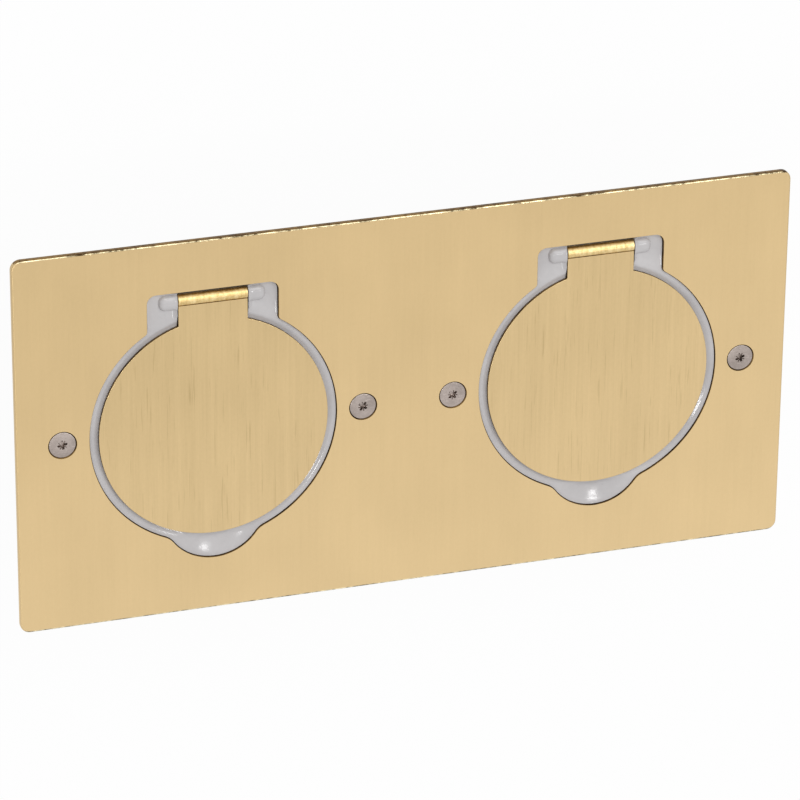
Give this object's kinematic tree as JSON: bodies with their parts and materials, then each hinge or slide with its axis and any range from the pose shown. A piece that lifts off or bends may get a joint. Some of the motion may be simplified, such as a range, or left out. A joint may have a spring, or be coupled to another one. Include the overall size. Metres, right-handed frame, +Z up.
{
  "type": "floor socket box",
  "caption": "Flush floor box with a rectangular brass cover plate and hinged round flaps over earthed plug outlets, for conduit wiring.",
  "frame": {"origin": "middle of the cover plate in plan, on the underside of the flush box", "axes": "+X along the cover plate from the left to the right flap, +Y towards the flap hinges, +Z up, out of the floor"},
  "size_m": [0.2, 0.1, 0.0424],
  "materials": {
    "cover_plate_brass": "satin brushed",
    "flap_brass": "satin brushed",
    "grey_plastic": "moulded, soft gloss",
    "seal_rubber": "matt",
    "foam_seal": "matt",
    "zinc_steel": "zinc plated",
    "screw_steel": "satin",
    "spring_steel": "bright wire",
    "contact_brass": "bare",
    "box_plastic": "moulded, matt",
    "outlet_plastic": "moulded, soft gloss",
    "base_plastic": "moulded, matt",
    "shutter_plastic": "moulded, matt"
  },
  "bodies": {
    "floor_box": {"cover_plate": "cover_plate_brass", "floor_gasket": "foam_seal", "mounting_plate": "zinc_steel", "flush_box": "box_plastic", "cover_screws": "screw_steel", "screw_inserts": "contact_brass", "outlet_screws": "zinc_steel", "bonding_screw": "contact_brass", "bonding_washer": "contact_brass", "left_flap_frame": "grey_plastic", "left_hinge_pin": "screw_steel", "left_outlet_front": "outlet_plastic", "left_contact_base": "base_plastic", "left_live_contact": "contact_brass", "left_neutral_contact": "contact_brass", "left_earth_pin": "contact_brass", "left_earth_terminal": "contact_brass", "left_terminal_screws": "zinc_steel", "left_base_screws": "zinc_steel", "left_shutter_spring": "spring_steel", "right_flap_frame": "grey_plastic", "right_hinge_pin": "screw_steel", "right_outlet_front": "outlet_plastic", "right_contact_base": "base_plastic", "right_live_contact": "contact_brass", "right_neutral_contact": "contact_brass", "right_earth_pin": "contact_brass", "right_earth_terminal": "contact_brass", "right_terminal_screws": "zinc_steel", "right_base_screws": "zinc_steel", "right_shutter_spring": "spring_steel"},
    "left_lid": {"left_flap": "flap_brass", "left_flap_liner": "grey_plastic", "left_flap_seal": "seal_rubber"},
    "left_safety_shutter": {"left_shutter": "shutter_plastic"},
    "right_lid": {"right_flap": "flap_brass", "right_flap_liner": "grey_plastic", "right_flap_seal": "seal_rubber"},
    "right_safety_shutter": {"right_shutter": "shutter_plastic"}
  },
  "joints": [
    {"name": "left_flap_hinge", "type": "hinge", "parent": "floor_box", "child": "left_lid", "pos_m": [-0.05, 0.0336, 0.0409], "axis": [-1, 0, 0], "range_deg": [0, 130]},
    {"name": "left_shutter_slide", "type": "slide", "parent": "floor_box", "child": "left_safety_shutter", "axis": [0, -1, 0], "range_m": [0, 0.0058], "stiffness_N_per_m": 60, "deforming": ["left_shutter_spring"]},
    {"name": "right_flap_hinge", "type": "hinge", "parent": "floor_box", "child": "right_lid", "pos_m": [0.05, 0.0336, 0.0409], "axis": [-1, 0, 0], "range_deg": [0, 130]},
    {"name": "right_shutter_slide", "type": "slide", "parent": "floor_box", "child": "right_safety_shutter", "axis": [0, -1, 0], "range_m": [0, 0.0058], "stiffness_N_per_m": 60, "deforming": ["right_shutter_spring"]}
  ]
}
